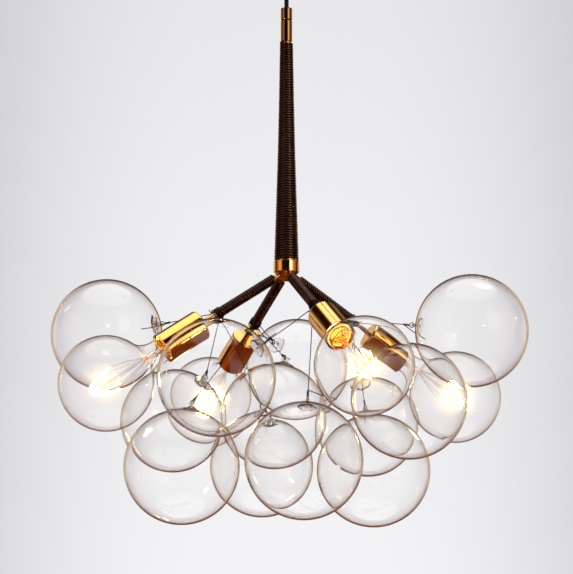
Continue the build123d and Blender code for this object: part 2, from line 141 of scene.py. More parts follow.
# %% Supply cord
cord_diameter = 6 * mm
cord_points = [(0, 0, -99 * mm), (0, 0, -50.5 * mm), (0, 0, -2 * mm)]
cord_curve = bpy.data.curves.new("supply_flex", "CURVE")
cord_curve.dimensions = "3D"
cord_curve.bevel_depth = 1.0
cord_curve.bevel_resolution = 6
cord_curve.use_fill_caps = True
cord_spline = cord_curve.splines.new("NURBS")
cord_spline.points.add(len(cord_points) - 1)
for point, place in zip(cord_spline.points, cord_points):
    point.co = (*place, 1)
    point.radius = cord_diameter / 2
cord_spline.order_u = 3
cord_spline.use_endpoint_u = True
supply_flex = bpy.data.objects.new("supply_flex", cord_curve)
scene.collection.objects.link(supply_flex)
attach(supply_flex, "fixture")
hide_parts("supply_cord")

# %% [markdown]
# Colours are written as sRGB hex, as a paint chart gives them, and one function turns them to the linear
# values that a shader wants. One more function adds a node to a tree, by its kind without the ShaderNode that
# every kind starts with: it sets the node's properties and inputs, fills a colour ramp's stops, and links
# inputs to the sockets that feed them.

# %% Colour and node helpers


def linear(code):
    """Turn an sRGB hex colour into linear red, green, blue and alpha."""
    values = [int(code[i:i + 2], 16) / 255 for i in (1, 3, 5)]
    return tuple(v / 12.92 if v <= 0.04045 else ((v + 0.055) / 1.055) ** 2.4 for v in values) + (1.0,)


def add_node(tree, kind, settings=None, links=None):
    """Add a shader node with its settings, linked from sockets, or from the first output of other nodes."""
    node = tree.nodes.new(f"ShaderNode{kind}")
    for name, value in (settings or {}).items():
        if name == "stops":
            ramp = node.color_ramp
            while len(ramp.elements) < len(value):
                ramp.elements.new(1.0)
            for element, (place, colour) in zip(ramp.elements, value):
                element.position, element.color = place, linear(colour)
        elif isinstance(name, int) or name in node.inputs:
            node.inputs[name].default_value = value
        else:
            setattr(node, name, value)
    for name, source in (links or {}).items():
        tree.links.new(source.outputs[0] if hasattr(source, "outputs") else source, node.inputs[name])
    return node


def new_material(name):
    """Start a material with an empty tree and its output."""
    material = bpy.data.materials.new(name)
    material.use_nodes = True
    material.node_tree.nodes.clear()
    return material, material.node_tree, add_node(material.node_tree, "OutputMaterial")


print("white turns to", linear("#FFFFFF"))

# %% [markdown]
# The studio is a pale paper wall, brightest low in the middle and a little darker at the sides, as the
# photograph shows it. The camera and clear glass see that wall from every side. What a reflection sees is
# the rest of the room: a window to the right, a soft box overhead, and dim amber walls and floor that the
# lit lamps warm. Polished metal needs those dark places, or it looks like plastic.

# %% Studio world
world = bpy.data.worlds.new("pale_studio")
scene.world = world
world.use_nodes = True
tree = world.node_tree
tree.nodes.clear()
rays = add_node(tree, "LightPath")
toward = add_node(tree, "TexCoord").outputs["Generated"]
parts = add_node(tree, "SeparateXYZ", links={0: toward})
aside = add_node(tree, "Math", {"operation": "ABSOLUTE"}, {0: parts.outputs["X"]})
wall = add_node(
    tree, "ValToRGB",
    {"stops": [(0.0, "#F4F4F6"), (0.042, "#F3F3F5"), (0.063, "#F0F0F2"), (0.084, "#EBEBED"), (0.1, "#E5E4E7"),
               (0.12, "#DCDADF"), (0.4, "#E0DEE2")]},
    {"Fac": aside})
climb = add_node(
    tree, "ValToRGB", {"stops": [(0.04, "#FFFFFF"), (0.18, "#FAFAFA"), (0.28, "#F2F2F2")]},
    {"Fac": parts.outputs["Z"]})
backdrop = add_node(
    tree, "Mix", {"data_type": "RGBA", "blend_type": "MULTIPLY", "Factor": 1.0}, {6: wall, 7: climb})
print("wall stops:", len(wall.color_ramp.elements))

# %% What reflections see
# The angle round the light, from 0 to 1: 0.5 looks back at the camera, and more is to the camera's right
ahead = add_node(tree, "Math", {"operation": "MULTIPLY", 1: -1.0}, {0: parts.outputs["Y"]})
angle = add_node(tree, "Math", {"operation": "ARCTAN2"}, {0: parts.outputs["X"], 1: ahead})
turn = add_node(tree, "Math", {"operation": "MULTIPLY_ADD", 1: 0.5 / math.pi, 2: 0.5}, {0: angle})
around_room = add_node(
    tree, "ValToRGB",
    {"stops": [
        (0.0, "#58463A"), (0.035, "#6A5242"), (0.06, "#F4DCB8"), (0.085, "#BCA48C"), (0.122, "#E0D2C4"),
        (0.15, "#DCCEC2"), (0.165, "#180B06"), (0.19, "#1C0D07"), (0.222, "#6B4326"), (0.264, "#A8763E"),
        (0.317, "#F0C070"), (0.367, "#E0B070"), (0.394, "#200D06"), (0.567, "#1C0B05"), (0.583, "#FFFFFF"),
        (0.639, "#FFFFFF"), (0.667, "#D8B07A"), (0.736, "#A8784C"), (0.79, "#180A06"), (0.832, "#1C0E08"),
        (0.85, "#DCCEC2"), (0.876, "#E0D2C4"), (0.915, "#BCA48C"), (0.94, "#F4DCB8"), (0.965, "#6A5242"),
        (1.0, "#58463A")]},
    {"Fac": turn})
# The height of the direction, from 0 straight down to 1 straight up
lift = add_node(tree, "Math", {"operation": "MULTIPLY_ADD", 1: 0.5, 2: 0.5}, {0: parts.outputs["Z"]})
dim_amber = "#6A2C10"
up_room = add_node(
    tree, "ValToRGB",
    {"stops": [(0.0, dim_amber), (0.1, "#702E10"), (0.16, "#9A5514"), (0.34, "#A66018"), (0.5, "#5A3418"),
               (0.7, "#180B06"), (0.87, "#1C0E08"), (0.895, "#6A4424"), (0.92, "#FFFAF0"), (1.0, "#FFFFFF")]},
    {"Fac": lift})
belt = add_node(
    tree, "ValToRGB", {"stops": [(0.34, "#000000"), (0.43, "#FFFFFF"), (0.7, "#FFFFFF"), (0.86, "#000000")]},
    {"Fac": lift})
room = add_node(tree, "Mix", {"data_type": "RGBA"}, {"Factor": belt, 6: up_room, 7: around_room})
# The window and the soft box are brighter than white paper, so the palest colours shine up to 2.2 times over
extra_light, extra_curve = 1.2, 4.0
brightness = add_node(tree, "RGBToBW", links={0: room.outputs[2]})
power = add_node(tree, "Math", {"operation": "POWER", 1: extra_curve}, {0: brightness})
strength = add_node(tree, "Math", {"operation": "MULTIPLY_ADD", 1: extra_light, 2: 1.0}, {0: power})
print("room stops:", len(around_room.color_ramp.elements) + len(up_room.color_ramp.elements))

# %% Join the lights of the room


def reflected_before(tree, rays, first_depth):
    """Tell a ray that was reflected on its way from one that has only crossed glass.

    The ray depth counts each turn of either kind, from a first depth of 1 in a world and 0 on a surface.
    """
    turned_back = add_node(tree, "Math", {"operation": "SUBTRACT"}, {
        0: rays.outputs["Ray Depth"], 1: rays.outputs["Transmission Depth"]})
    return add_node(tree, "Math", {"operation": "GREATER_THAN", 1: first_depth + 0.5}, {0: turned_back})


wall_seen = add_node(tree, "Background", {"Strength": 1.0}, {"Color": backdrop.outputs[2]})
wall_through_glass = add_node(tree, "Background", {"Strength": 1.04}, {"Color": backdrop.outputs[2]})
room_light = add_node(tree, "Background", links={"Color": room.outputs[2], "Strength": strength})
fill_light = add_node(tree, "Background", {"Color": linear("#F4F5F8"), "Strength": 0.5})
# A ray that has only crossed glass sees the wall, and one that was also reflected sees the room
crossed = add_node(tree, "MixShader", links={
    0: rays.outputs["Is Transmission Ray"], 1: wall_seen, 2: wall_through_glass})
through = add_node(tree, "MixShader", links={
    0: reflected_before(tree, rays, 1), 1: crossed, 2: room_light})
plain = add_node(tree, "MixShader", links={
    0: rays.outputs["Is Diffuse Ray"], 1: through, 2: fill_light})
add_node(tree, "OutputWorld", links={"Surface": plain})
print("world nodes:", len(tree.nodes))

# %% [markdown]
# A wide pale floor far under the light catches its shadow in the other views. Three soft boxes light the
# leather, the cord and the ceramic. Their look in the brass and the glass is drawn in the room above, where
# it can be softer than the lights themselves, so reflections leave them out.

# %% Floor and soft boxes
floor_level, bubbles_middle = -1.7, Vector((0, 0, -0.5))
floor_mesh = bpy.data.meshes.new("studio_floor")
floor_radius, floor_corners = 30.0, 96
floor_turns = [math.tau * number / floor_corners for number in range(floor_corners)]
floor_mesh.from_pydata(
    [(floor_radius * math.cos(turn), floor_radius * math.sin(turn), floor_level) for turn in floor_turns],
    [], [range(floor_corners)])
studio_floor = bpy.data.objects.new("studio_floor", floor_mesh)
scene.collection.objects.link(studio_floor)
floor_paint, tree, output = new_material("pale_floor_paint")
spot = add_node(tree, "TexNoise", {"Scale": 3.0, "Detail": 3.0})
tone = add_node(tree, "ValToRGB", {"stops": [(0.3, "#D9D7DA"), (0.7, "#DFDDE0")]}, {"Fac": spot})
# Far from the lamps the floor would turn darker than the wall, so it gives a little more light there
place = add_node(tree, "TexCoord").outputs["Object"]
from_middle = add_node(tree, "VectorMath", {"operation": "LENGTH"}, {0: place})
lift_far = add_node(
    tree, "MapRange", {"From Min": 2.2, "From Max": 6.0, "To Min": 0.32, "To Max": 0.56},
    {"Value": from_middle.outputs["Value"]})
paint = add_node(
    tree, "BsdfPrincipled", {"Roughness": 0.85},
    {"Base Color": tone, "Emission Color": tone, "Emission Strength": lift_far})
# A reflection that then crosses glass finds the dim amber floor of the room, as a plain reflection does
floor_rays = add_node(tree, "LightPath")
dim_floor = add_node(tree, "Emission", {"Color": linear(dim_amber)})
floor_look = add_node(tree, "MixShader", links={
    0: reflected_before(tree, floor_rays, 0), 1: paint, 2: dim_floor})
tree.links.new(floor_look.outputs[0], output.inputs["Surface"])
floor_mesh.materials.append(floor_paint)
studio_floor.visible_glossy = False


def soft_box(name, place, size, watts, colour, gleam=False):
    """Add an area light that faces the bubbles. A gleam makes only highlights, and the others make none."""
    data = bpy.data.lights.new(name, "AREA")
    data.shape = "RECTANGLE"
    data.size, data.size_y = size
    data.energy = watts
    data.color = linear(colour)[:3]
    light = bpy.data.objects.new(name, data)
    light.location = place
    light.rotation_euler = (bubbles_middle - Vector(place)).to_track_quat("-Z", "Y").to_euler()
    light.visible_glossy, light.visible_diffuse = gleam, not gleam
    light.visible_transmission = False
    scene.collection.objects.link(light)
    return light


studio_lights = [
    soft_box("right_soft_box", (2.1, -1.7, 0.1), (0.5, 1.8), 26, "#FFFDF8"),
    soft_box("left_soft_box", (-2.1, -1.9, 0.3), (0.6, 1.6), 15, "#FFF6EA"),
    soft_box("top_soft_box", (0.3, 0.4, 1.6), (1.4, 1.4), 14, "#FFFFFF"),
]
print("soft boxes:", len(studio_lights))

# %% [markdown]
# Three small mesh makers do most of the work. A tube follows a list of points, a lathe turns an outline
# round an axis, and a last function puts a finished mesh on its body with its material.

# %% Mesh makers


def new_piece(name, points, faces):
    """Make a smooth mesh object from its corners and faces."""
    mesh = bpy.data.meshes.new(name)
    mesh.from_pydata([tuple(p) for p in points], [], faces)
    mesh.validate()
    mesh.polygons.foreach_set("use_smooth", [True] * len(mesh.polygons))
    obj = bpy.data.objects.new(name, mesh)
    scene.collection.objects.link(obj)
    return obj


def bands(first, rings, sides):
    """List the four-cornered faces between rings of points that follow one another."""
    faces = []
    for ring in range(rings - 1):
        low = first + ring * sides
        high = low + sides
        for corner in range(sides):
            after = (corner + 1) % sides
            faces.append((low + corner, low + after, high + after, high + corner))
    return faces


def tube(name, lines, radius, sides=8):
    """Make round tubes along lists of points. The radius is a number, or a function of the point's number."""
    points, faces = [], []
    for line in lines:
        first = len(points)
        side = None
        for number, place in enumerate(line):
            before = line[max(number - 1, 0)]
            after = line[min(number + 1, len(line) - 1)]
            along = (after - before).normalized()
            if side is None:
                side = basis(along)[0]
            side = (side - along * side.dot(along)).normalized()
            up = along.cross(side)
            reach = radius(number) if callable(radius) else radius
            for corner in range(sides):
                points.append(place + around(side, up, math.tau * corner / sides) * reach)
        faces += bands(first, len(line), sides)
        last = first + (len(line) - 1) * sides
        faces.append(tuple(first + corner for corner in reversed(range(sides))))
        faces.append(tuple(last + corner for corner in range(sides)))
    return new_piece(name, points, faces)


def lathe(name, outline, origin, axis, segments):
    """Turn an outline of radius and height round an axis."""
    side, up = basis(axis)
    points, faces, rings = [], [], []
    for radius, height in outline:
        middle = origin + axis * height
        if radius == 0:
            rings.append([len(points)])
            points.append(middle)
            continue
        rings.append(list(range(len(points), len(points) + segments)))
        for number in range(segments):
            points.append(middle + around(side, up, math.tau * number / segments) * radius)
    for low, high in zip(rings, rings[1:]):
        for number in range(segments):
            after = (number + 1) % segments
            corners = [low[number % len(low)], low[after % len(low)],
                       high[after % len(high)], high[number % len(high)]]
            # A ring that has shrunk to a pole gives a face of three corners
            kept = [c for place, c in enumerate(corners) if c not in corners[:place]]
            if len(kept) > 2:
                faces.append(tuple(kept))
    return new_piece(name, points, faces)


def fit(obj, body, slot, material, *replaced):
    """Put a finished piece on its body, with its material, and hide the nodes that it stands for. The slot is
    not used.
    """
    obj.data.materials.append(material)
    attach(obj, body)
    if replaced:
        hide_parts(*replaced)


def dress(material, *names):
    """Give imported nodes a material."""
    for name in names:
        nodes[name].material_slots[0].material = material


print("mesh makers ready")

# %% [markdown]
# Polished brass is turned on a lathe, buffed and lacquered. Turning leaves very fine rings round the axis,
# buffing leaves soft cloudy patches, and both show only as a slight change in gloss. Brass is a metal, so
# its colour is all in its reflection. The rings run round the axis of each piece, so the height along that
# axis drives them.

# %% Polished brass
# Most of a noise texture's values lie in this range
noise_range = {"From Min": 0.3, "From Max": 0.7}


def polished_brass(name, axis, colour, roughness=0.075, patch="#DFA050"):
    """Make lacquered brass with turning rings round an axis, and a patchy second colour."""
    material, tree, output = new_material(name)
    place = add_node(tree, "TexCoord").outputs["Object"]
    height = add_node(tree, "VectorMath", {"operation": "DOT_PRODUCT", 1: axis}, {0: place})
    ring_pitch, cloud_size, patch_share = 0.45 * mm, 9 * mm, 0.35
    rings = add_node(
        tree, "TexNoise", {"noise_dimensions": "1D", "Scale": 1 / ring_pitch, "Detail": 2.0},
        {"W": height.outputs["Value"]})
    cloud = add_node(tree, "TexNoise", {"Scale": 1 / cloud_size, "Detail": 4.0}, {"Vector": place})
    gloss = add_node(
        tree, "MapRange", {**noise_range, "To Min": roughness * 0.75, "To Max": roughness * 1.5},
        {"Value": cloud})
    blotch = add_node(tree, "Math", {"operation": "MULTIPLY", 1: patch_share}, {0: cloud})
    tint = add_node(
        tree, "Mix", {"data_type": "RGBA", 6: linear(colour), 7: linear(patch)}, {"Factor": blotch})
    bump = add_node(tree, "Bump", {"Strength": 0.06, "Distance": 0.05 * mm}, {"Height": rings})
    brass = add_node(
        tree, "BsdfPrincipled", {"Metallic": 1.0, "Coat Weight": 0.5, "Coat Roughness": 0.04},
        {"Base Color": tint.outputs[2], "Roughness": gloss, "Normal": bump})
    tree.links.new(brass.outputs[0], output.inputs["Surface"])
    return material


dress(polished_brass("polished_brass_upright", upright, "#F1C88E"), "arm_hub", "canopy", "canopy_collar")
# The gland is the same polished brass with a darker base and patch colour: painted shade for its dimmer
# surroundings, away from the lamps.
dress(polished_brass("brass_gland_painted_shade", upright, "#9A7644", patch="#7E5A30"), "gland_nut", "gland_sleeve")
tube_colour, tube_roughness = "#D09A4A", 0.24
for arm, axis in arm_axes.items():
    dress(polished_brass(f"polished_brass_{arm}", axis, "#F0B254"), f"socket_cup_{arm}")
    dress(polished_brass(f"drawn_brass_tube_{arm}", axis, tube_colour, tube_roughness), f"arm_tube_{arm}")
dress(polished_brass("drawn_brass_tube_stem", upright, tube_colour, tube_roughness), "stem_core")
print("brass pieces dressed")

# %% [markdown]
# Round leather lace is cut from a hide, dyed dark brown, rounded and waxed. It shows a fine grain along its
# length, small creases across it where it bends, and a waxy shine on the crown of each turn, where the dye
# has also rubbed a little lighter.

# %% Waxed leather


def waxed_leather():
    """Make dark brown waxed leather lace."""
    material, tree, output = new_material("waxed_leather_lace")
    place = add_node(tree, "TexCoord").outputs["Object"]
    grain_width, crease_width, patch_width = 0.35 * mm, 1.1 * mm, 14 * mm
    grain = add_node(tree, "TexNoise", {"Scale": 1 / grain_width, "Detail": 3.0}, {"Vector": place})
    crease = add_node(
        tree, "TexVoronoi", {"Scale": 1 / crease_width, "feature": "DISTANCE_TO_EDGE"}, {"Vector": place})
    patch = add_node(tree, "TexNoise", {"Scale": 1 / patch_width, "Detail": 5.0}, {"Vector": place})
    shade = add_node(
        tree, "ValToRGB", {"stops": [(0.25, "#0A0301"), (0.5, "#150705"), (0.75, "#26100A")]},
        {"Fac": patch})
    speck = add_node(
        tree, "Mix", {"data_type": "RGBA", "blend_type": "MULTIPLY", "Factor": 0.4},
        {6: shade, 7: grain.outputs["Color"]})
    relief = add_node(
        tree, "Math", {"operation": "MULTIPLY_ADD", 1: 0.6}, {0: grain, 2: crease.outputs["Distance"]})
    bump = add_node(tree, "Bump", {"Strength": 0.35, "Distance": 0.12 * mm}, {"Height": relief})
    gloss = add_node(tree, "MapRange", {**noise_range, "To Min": 0.2, "To Max": 0.34}, {"Value": patch})
    leather = add_node(
        tree, "BsdfPrincipled", {"IOR": 1.5, "Specular Tint": linear("#FFC8B6")},
        {"Base Color": speck.outputs[2], "Roughness": gloss, "Normal": bump})
    tree.links.new(leather.outputs[0], output.inputs["Surface"])
    return material


leather = waxed_leather()
print("leather nodes:", len(leather.node_tree.nodes))

# %% [markdown]
# The lace is wound by hand, so no two turns lie quite alike: each swells and shifts by a tenth of a
# millimetre or so. One long helix follows the taper of the stem. Its radius at each height comes from the
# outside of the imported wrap, less half the lace. Two tall strip lights draw the row of small highlights down
# the waxed turns, and they are linked to the leather alone.

# %% Lace round the stem and the arms
lace_radius = 1.72 * mm
lace_pitch = 3.5 * mm
stem_radii = [r * mm for r in (16.75, 14.4, 12.1, 10.5, 9.3)]
arm_wrap_radius = 7.1 * mm
sway_out, pulled_in, sway_along, swell_share = 0.22 * mm, 0.1 * mm, 0.25 * mm, 0.05


def lace_line(radii, start, length, origin, axis, points_per_turn, seed):
    """List the points of a helix of lace over a taper, with the small unevenness of a hand winding."""
    side, up = basis(axis)
    turns = (length - 2 * lace_radius) / lace_pitch
    count = int(turns * points_per_turn)
    line = []
    for number in range(count + 1):
        share = number / count
        spot = share * (len(radii) - 1)
        low = min(int(spot), len(radii) - 2)
        radius = radii[low] + (radii[low + 1] - radii[low]) * (spot - low) - lace_radius
        turned = math.tau * turns * share
        radius += noise.noise(Vector((turned / 5, seed, 0))) * sway_out - pulled_in
        height = start + lace_radius + (length - 2 * lace_radius) * share
        height += noise.noise(Vector((turned / 3, seed + 9, 0))) * sway_along
        line.append(origin + axis * height + around(side, up, turned) * radius)
    return line


def uneven(seed):
    """Return a lace radius that swells a little from place to place."""
    return lambda number: lace_radius * (1 + swell_share * noise.noise(Vector((number / 9, seed, 3))))


wrap_low, wrap_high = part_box("stem_wrap")[0].z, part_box("stem_wrap")[1].z
stem_points, arm_points = 30, 20
stem_line = lace_line(stem_radii, wrap_low, wrap_high - wrap_low, Vector(), upright, stem_points, 2.0)
fit(tube("stem_lace", [stem_line], uneven(1.0)), "fixture", "dark_leather", leather, "stem_wrap")
wrap_ends = {}
for number, (arm, axis) in enumerate(arm_axes.items()):
    wrap_start, wrap_end = span(f"arm_wrap_{arm}", meeting, axis)
    wrap_ends[arm] = wrap_end
    line = lace_line(
        [arm_wrap_radius] * 2, wrap_start, wrap_end - wrap_start, meeting, axis, arm_points, 11.0 + number)
    lace = tube(f"arm_lace_{arm}", [line], uneven(21.0 + number))
    fit(lace, "fixture", "dark_leather", leather, f"arm_wrap_{arm}")
leather_list = bpy.data.collections.new("leather_shows_gleams")
for name in ["stem_lace", *[f"arm_lace_{arm}" for arm in arm_axes]]:
    leather_list.objects.link(bpy.data.objects[name])
gleams = [
    soft_box("right_gleam", (1.77, -1.9, -0.1), (0.3, 1.6), 34, "#FFDCCC", gleam=True),
    soft_box("left_gleam", (-1.5, -2.1, -0.1), (0.3, 1.6), 5, "#FFDCCC", gleam=True),
]
for light in gleams:
    light.light_linking.receiver_collection = leather_list
print("stem lace turns:", round((wrap_high - wrap_low) / lace_pitch, 1), "arm wrap ends:", wrap_ends)

# %% [markdown]
# The cord is a flex with a braided black textile sleeve. The braid is two sets of fine threads that cross
# at a slant, so two waves that wind up and down round the cord, multiplied, give its small diamonds.

# %% Braided cord
flex_textile, tree, output = new_material("braided_textile_flex")
place = add_node(tree, "TexCoord").outputs["Object"]
axes = add_node(tree, "SeparateXYZ", links={0: place})
bearing = add_node(tree, "Math", {"operation": "ARCTAN2"}, {0: axes.outputs["X"], 1: axes.outputs["Y"]})
threads_round, braid_pitch = 12, 1.6 * mm
rise = add_node(tree, "Math", {"operation": "MULTIPLY", 1: math.tau / braid_pitch}, {0: axes.outputs["Z"]})
waves = []
for slant in (threads_round, -threads_round):
    phase = add_node(tree, "Math", {"operation": "MULTIPLY_ADD", 1: slant}, {0: bearing, 2: rise})
    waves.append(add_node(tree, "Math", {"operation": "SINE"}, {0: phase}))
braid = add_node(tree, "Math", {"operation": "MULTIPLY"}, {0: waves[0], 1: waves[1]})
bump = add_node(tree, "Bump", {"Strength": 0.6, "Distance": 0.2 * mm}, {"Height": braid})
yarn = add_node(tree, "ValToRGB", {"stops": [(0.2, "#070707"), (0.9, "#1B1A1A")]}, {"Fac": braid})
textile = add_node(
    tree, "BsdfPrincipled", {"Roughness": 0.62, "Sheen Weight": 0.05},
    {"Base Color": yarn, "Normal": bump})
tree.links.new(textile.outputs[0], output.inputs["Surface"])
cord_curve.materials.append(flex_textile)
print("braid threads:", 2 * threads_round)

# %% [markdown]
# The bubbles are free-blown soda-lime glass, about 1.2 mm thick. Seen straight on the wall is almost
# invisible, but at the rim light has to cross centimetres of glass, and there it turns a smoky brown. Part
# of that colour is in the volume, where it grows with the path, and part is painted shade: the surface
# colour turns brown towards the rim as the view grazes it, standing in for the dark room bent into view
# there. A very slow ripple in the surface is what blowing without a mould leaves. A shell this thin bends
# light less than a solid piece does, and an index of 1.25 gives it the thin rim of the photograph. The solid
# hooks and feet keep a higher index, so they show the dark lines inside them that thick glass has.

# %% Clear glass
solid_index, shell_end, solid_start = 1.45, 0.3 * mm, 1.5 * mm


def clear_glass(name, tint, density, ior, ripple, ripple_size, rim="#FFFFFF", shell=None):
    """Make clear glass, tinted by thickness, with painted shade at its rim, and solid outside a shell's middle
    and radius.
    """
    material, tree, output = new_material(name)
    place = add_node(tree, "TexCoord").outputs["Object"]
    wave = add_node(tree, "TexNoise", {"Scale": 1 / ripple_size, "Detail": 1.0}, {"Vector": place})
    bump = add_node(tree, "Bump", {"Strength": ripple, "Distance": 1 * mm}, {"Height": wave})
    # Painted shade: the base colour turns from white to the rim colour where the view grazes the surface.
    edge = add_node(tree, "LayerWeight", {"Blend": 0.5})
    painted_rim_shade = add_node(
        tree, "ValToRGB", {"stops": [(0.77, "#FFFFFF"), (0.91, rim)]}, {"Fac": edge.outputs["Facing"]})
    glass = add_node(
        tree, "BsdfPrincipled", {"Roughness": 0.0, "IOR": ior, "Transmission Weight": 1.0},
        {"Base Color": painted_rim_shade, "Normal": bump})
    if shell:
        middle, radius = shell
        away = add_node(tree, "VectorMath", {"operation": "DISTANCE", 1: middle}, {0: place})
        index = add_node(
            tree, "MapRange",
            {"From Min": radius + shell_end, "From Max": radius + solid_start,
             "To Min": ior, "To Max": solid_index},
            {"Value": away.outputs["Value"]})
        tree.links.new(index.outputs[0], glass.inputs["IOR"])
    smoke = add_node(tree, "VolumeAbsorption", {"Color": linear(tint), "Density": density})
    tree.links.new(glass.outputs[0], output.inputs["Surface"])
    tree.links.new(smoke.outputs[0], output.inputs["Volume"])
    return material


# Each rim colour below is painted shade at the grazing edge of the glass.
blown_ripple = {"ripple": 0.02, "ripple_size": 60 * mm}
gathered_glass = clear_glass(
    "gathered_hook_glass", "#A9805C", 12.0, ior=1.3, ripple=0.25, ripple_size=6 * mm, rim="#DCC8B4")
envelope_glass = clear_glass("lamp_envelope_glass", "#CCA070", 26.0, ior=1.2, **blown_ripple, rim="#D8B090")
stem_glass = clear_glass("amber_lit_stem_glass", "#FFC050", 60.0, ior=1.3, ripple=0.1, ripple_size=6 * mm)
bubble_names = sorted(n for n in nodes if n.startswith("bubble_"))
dress(envelope_glass, *[f"lamp_glass_{arm}" for arm in arm_axes])
print("bubbles:", len(bubble_names))

# %% [markdown]
# Each lamp has a glass stem: a flare sealed into the neck, a flat amber pinch where the lead wires pass, and
# a thin rod with a bead at its end. Fine nickel wires fan out from the pinch and hold the glowing strands,
# which run on in a cone to the bead. Stem, wires and strands are turned and drawn along the lamp's axis.
# Brown basing cement closes the cap behind the stem. Its amber glow is painted light: the cement has a
# mottled amber emission of its own, in place of the strands' light falling on it. The strands
# shine only where they are seen or mirrored: what they light is left to the point lights that follow.

# %% Metal of the lamp's wires and glow of its strands


def metal(name, colour, roughness, grit, bump_strength=0.1):
    """Make a plain metal with a fine even grit."""
    material, tree, output = new_material(name)
    place = add_node(tree, "TexCoord").outputs["Object"]
    grain = add_node(tree, "TexNoise", {"Scale": 1 / grit, "Detail": 3.0}, {"Vector": place})
    gloss = add_node(
        tree, "MapRange", {**noise_range, "To Min": roughness * 0.8, "To Max": roughness * 1.3},
        {"Value": grain})
    bump = add_node(tree, "Bump", {"Strength": bump_strength, "Distance": 0.1 * mm}, {"Height": grain})
    skin = add_node(
        tree, "BsdfPrincipled", {"Base Color": linear(colour), "Metallic": 1.0},
        {"Roughness": gloss, "Normal": bump})
    tree.links.new(skin.outputs[0], output.inputs["Surface"])
    return material


support_metal = metal("nickel_support_wire", "#D9B272", 0.25, 2 * mm)
glow, tree, output = new_material("glowing_strand")
strand_glow, heat_size = 40.0, 3 * mm
heat = add_node(tree, "TexNoise", {"Scale": 1 / heat_size, "Detail": 2.0})
colour = add_node(tree, "ValToRGB", {"stops": [(0.3, "#FFE2A0"), (0.7, "#FFF3CE")]}, {"Fac": heat})
strand_rays = add_node(tree, "LightPath")
seen = add_node(tree, "Math", {"operation": "LESS_THAN", 1: 0.5}, {0: strand_rays.outputs["Diffuse Depth"]})
shine = add_node(tree, "Math", {"operation": "MULTIPLY", 1: strand_glow}, {0: seen})
strand = add_node(
    tree, "BsdfPrincipled", {"Roughness": 0.5},
    {"Base Color": colour, "Emission Color": colour, "Emission Strength": shine})
tree.links.new(strand.outputs[0], output.inputs["Surface"])
print("strand nodes:", len(glow.node_tree.nodes))

# %% Lamp stems, wires and strands
neck_root, pinch_place = 195.7 * mm, 229.7 * mm
rod_end = pinch_place + 56 * mm
support_place = pinch_place + 53 * mm
strand_end = support_place + 37 * mm
support_spread, strand_tip_spread = 17 * mm, 5.5 * mm
support_radius, strand_radius, curl_radius = 0.22 * mm, 0.42 * mm, 1.2 * mm
bow_out, home_bow_out, strand_bow_out = 1.4 * mm, 0.8 * mm, 1.5 * mm
foot_past, foot_out, home_past, home_out = 2 * mm, 2 * mm, 2 * mm, 1.6 * mm
strand_count, strand_steps, first_strand = 8, 14, 0.3
flare_outline = [(r * mm, neck_root + z * mm) for r, z in (
    (11.0, 0), (8.2, 3.0), (6.0, 8.0), (4.6, 15.0), (3.7, 24.0), (3.3, 30.0), (3.1, 33.0), (2.4, 35.5),
    (1.5, 37.5), (1.3, 45.0), (1.3, 82.0), (1.7, 87.0), (2.3, 89.0), (2.3, 90.5), (1.5, 92.0), (0, 92.4))]
inner_outline = [(r * mm, neck_root + z * mm) for r, z in (
    (0, 24), (1.4, 22), (3.2, 12), (5.2, 6), (7.4, 2.4), (10.1, 0))]
for arm, axis in arm_axes.items():
    side, up = basis(axis)
    body, node = f"lamp_{arm}", f"lamp_mount_{arm}"
    stem = lathe(f"lamp_stem_{arm}", inner_outline + flare_outline, meeting, axis, 32)
    fit(stem, body, "lamp_mount", stem_glass, node)
    supports, strands = [], []
    for number in range(strand_count):
        out = around(side, up, math.tau * (number + first_strand) / strand_count)
        foot = meeting + axis * (pinch_place + foot_past) + out * foot_out
        tip = meeting + axis * support_place + out * support_spread
        end = meeting + axis * strand_end + out * strand_tip_spread
        home = meeting + axis * (rod_end + home_past) + out * home_out
        across = axis.cross(out)
        curl = [tip + axis * curl_radius * math.sin(a) + across * curl_radius * (1 - math.cos(a))
                for a in (math.radians(d) for d in range(30, 330, 40))]
        bow = foot.lerp(tip, 0.5) + out * bow_out
        supports.append([foot, foot.lerp(bow, 0.5), bow, bow.lerp(tip, 0.5), tip, *curl])
        supports.append([home, home.lerp(end, 0.5) + out * home_bow_out, end])
        shares = [step / strand_steps for step in range(strand_steps + 1)]
        strands.append([tip.lerp(end, s) + out * strand_bow_out * math.sin(math.pi * s) for s in shares])
    fit(tube(f"lamp_supports_{arm}", supports, support_radius, 6), body, "lamp_mount", support_metal, node)
    fit(tube(f"lamp_strands_{arm}", strands, strand_radius), body, "lamp_mount", glow, node)
print("strands:", strand_count * len(arm_axes))

# %% Basing cement with a painted glow
cement, tree, output = new_material("brown_basing_cement_painted_glow")
mottle_size = 4 * mm
mottle = add_node(tree, "TexNoise", {"Scale": 1 / mottle_size, "Detail": 4.0})
# The mottled amber emission is painted light, standing in for the strands' light on the cement.
tone = add_node(tree, "ValToRGB", {"stops": [(0.3, "#E09A20"), (0.7, "#FFC83C")]}, {"Fac": mottle})
cement_painted_glow = add_node(
    tree, "BsdfPrincipled", {"Roughness": 0.7, "Base Color": linear("#8A7430"), "Emission Strength": 0.6},
    {"Emission Color": tone})
tree.links.new(cement_painted_glow.outputs[0], output.inputs["Surface"])
